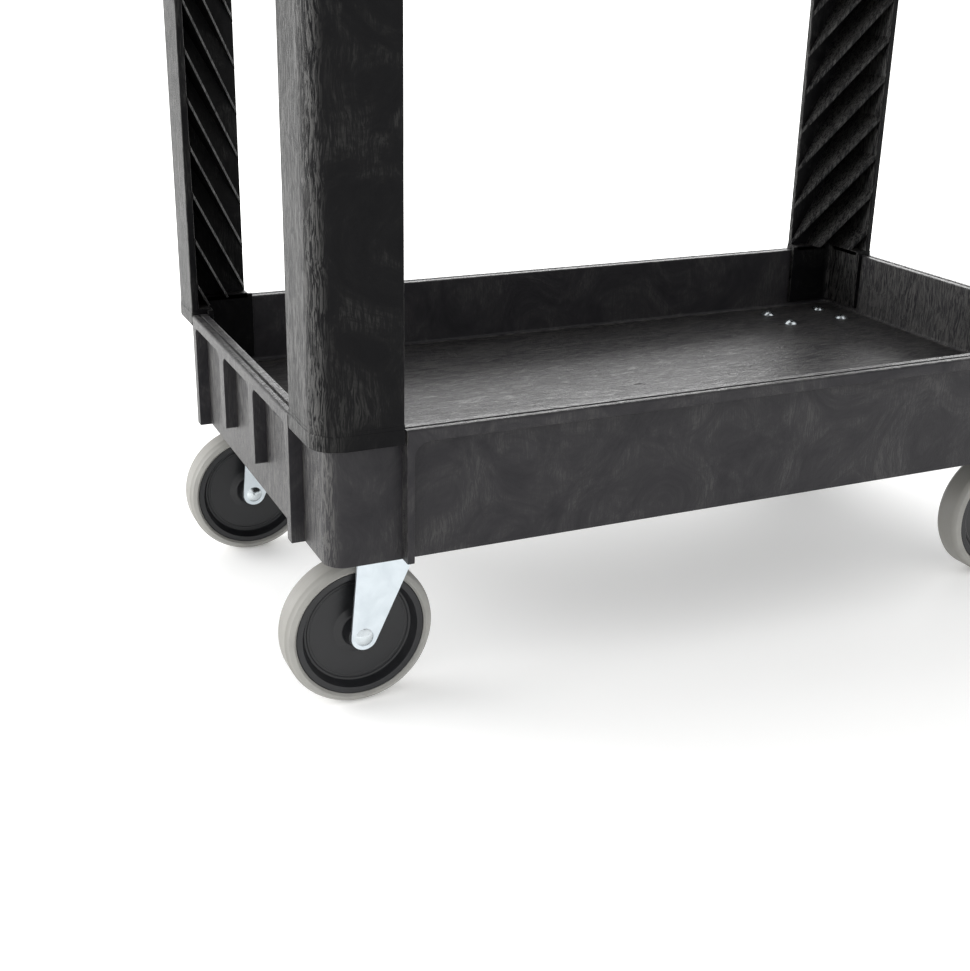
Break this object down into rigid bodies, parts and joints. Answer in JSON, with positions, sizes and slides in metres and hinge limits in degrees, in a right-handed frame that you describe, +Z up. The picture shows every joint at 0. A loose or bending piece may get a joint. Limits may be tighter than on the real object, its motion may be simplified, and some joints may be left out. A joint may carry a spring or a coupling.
{
  "type": "rolling utility cart",
  "caption": "Moulded plastic utility cart with lipped shelves, corner posts, a push handle, and swivel and rigid casters.",
  "frame": {"origin": "on the floor, under the middle of the whole cart's outline", "axes": "+X along the shelves away from the push handle, +Y across the cart, +Z up"},
  "size_m": [0.997, 0.465, 0.845],
  "materials": {
    "shelf_plastic": "structural foam polyethylene with faint flow marks",
    "post_plastic": "structural foam polyethylene with faint flow marks",
    "hub_plastic": "moulded polypropylene, low gloss",
    "tyre_rubber": "smooth grey non-marking thermoplastic rubber",
    "zinc_steel": "pressed steel, bright zinc plate",
    "fastener_steel": "cold-headed steel, bright zinc plate",
    "ball_steel": "hardened polished steel"
  },
  "bodies": {
    "cart": {"lower_shelf": "shelf_plastic", "upper_shelf": "shelf_plastic", "post_front_left": "post_plastic", "post_rear_left": "post_plastic", "post_front_right": "post_plastic", "post_rear_right": "post_plastic", "swivel_plate_front_left": "zinc_steel", "swivel_race_front_left": "zinc_steel", "kingpin_front_left": "fastener_steel", "caster_bolts_front_left": "fastener_steel", "caster_nuts_front_left": "fastener_steel", "swivel_plate_rear_left": "zinc_steel", "swivel_race_rear_left": "zinc_steel", "kingpin_rear_left": "fastener_steel", "caster_bolts_rear_left": "fastener_steel", "caster_nuts_rear_left": "fastener_steel", "rigid_fork_front_right": "zinc_steel", "axle_front_right": "fastener_steel", "axle_nut_front_right": "fastener_steel", "wheel_sleeve_front_right": "fastener_steel", "caster_bolts_front_right": "fastener_steel", "caster_nuts_front_right": "fastener_steel", "rigid_fork_rear_right": "zinc_steel", "axle_rear_right": "fastener_steel", "axle_nut_rear_right": "fastener_steel", "wheel_sleeve_rear_right": "fastener_steel", "caster_bolts_rear_right": "fastener_steel", "caster_nuts_rear_right": "fastener_steel"},
    "swivel_front_left": {"swivel_fork_front_left": "zinc_steel", "swivel_balls_front_left": "ball_steel", "axle_front_left": "fastener_steel", "axle_nut_front_left": "fastener_steel", "wheel_sleeve_front_left": "fastener_steel"},
    "wheel_front_left": {"wheel_hub_front_left": "hub_plastic", "tyre_front_left": "tyre_rubber"},
    "swivel_rear_left": {"swivel_fork_rear_left": "zinc_steel", "swivel_balls_rear_left": "ball_steel", "axle_rear_left": "fastener_steel", "axle_nut_rear_left": "fastener_steel", "wheel_sleeve_rear_left": "fastener_steel"},
    "wheel_rear_left": {"wheel_hub_rear_left": "hub_plastic", "tyre_rear_left": "tyre_rubber"},
    "wheel_front_right": {"wheel_hub_front_right": "hub_plastic", "tyre_front_right": "tyre_rubber"},
    "wheel_rear_right": {"wheel_hub_rear_right": "hub_plastic", "tyre_rear_right": "tyre_rubber"}
  },
  "joints": [
    {"name": "swivel_front_left", "type": "hinge", "parent": "cart", "child": "swivel_front_left", "pos_m": [-0.2345, -0.1675, 0.14], "axis": [0, 0, 1], "continuous": true},
    {"name": "wheel_spin_front_left", "type": "hinge", "parent": "swivel_front_left", "child": "wheel_front_left", "pos_m": [-0.2675, -0.1675, 0.0635], "axis": [0, 1, 0], "continuous": true},
    {"name": "swivel_rear_left", "type": "hinge", "parent": "cart", "child": "swivel_rear_left", "pos_m": [-0.2345, 0.1675, 0.14], "axis": [0, 0, 1], "continuous": true},
    {"name": "wheel_spin_rear_left", "type": "hinge", "parent": "swivel_rear_left", "child": "wheel_rear_left", "pos_m": [-0.2675, 0.1675, 0.0635], "axis": [0, 1, 0], "continuous": true},
    {"name": "wheel_spin_front_right", "type": "hinge", "parent": "cart", "child": "wheel_front_right", "pos_m": [0.4155, -0.1675, 0.0635], "axis": [0, 1, 0], "continuous": true},
    {"name": "wheel_spin_rear_right", "type": "hinge", "parent": "cart", "child": "wheel_rear_right", "pos_m": [0.4155, 0.1675, 0.0635], "axis": [0, 1, 0], "continuous": true}
  ]
}
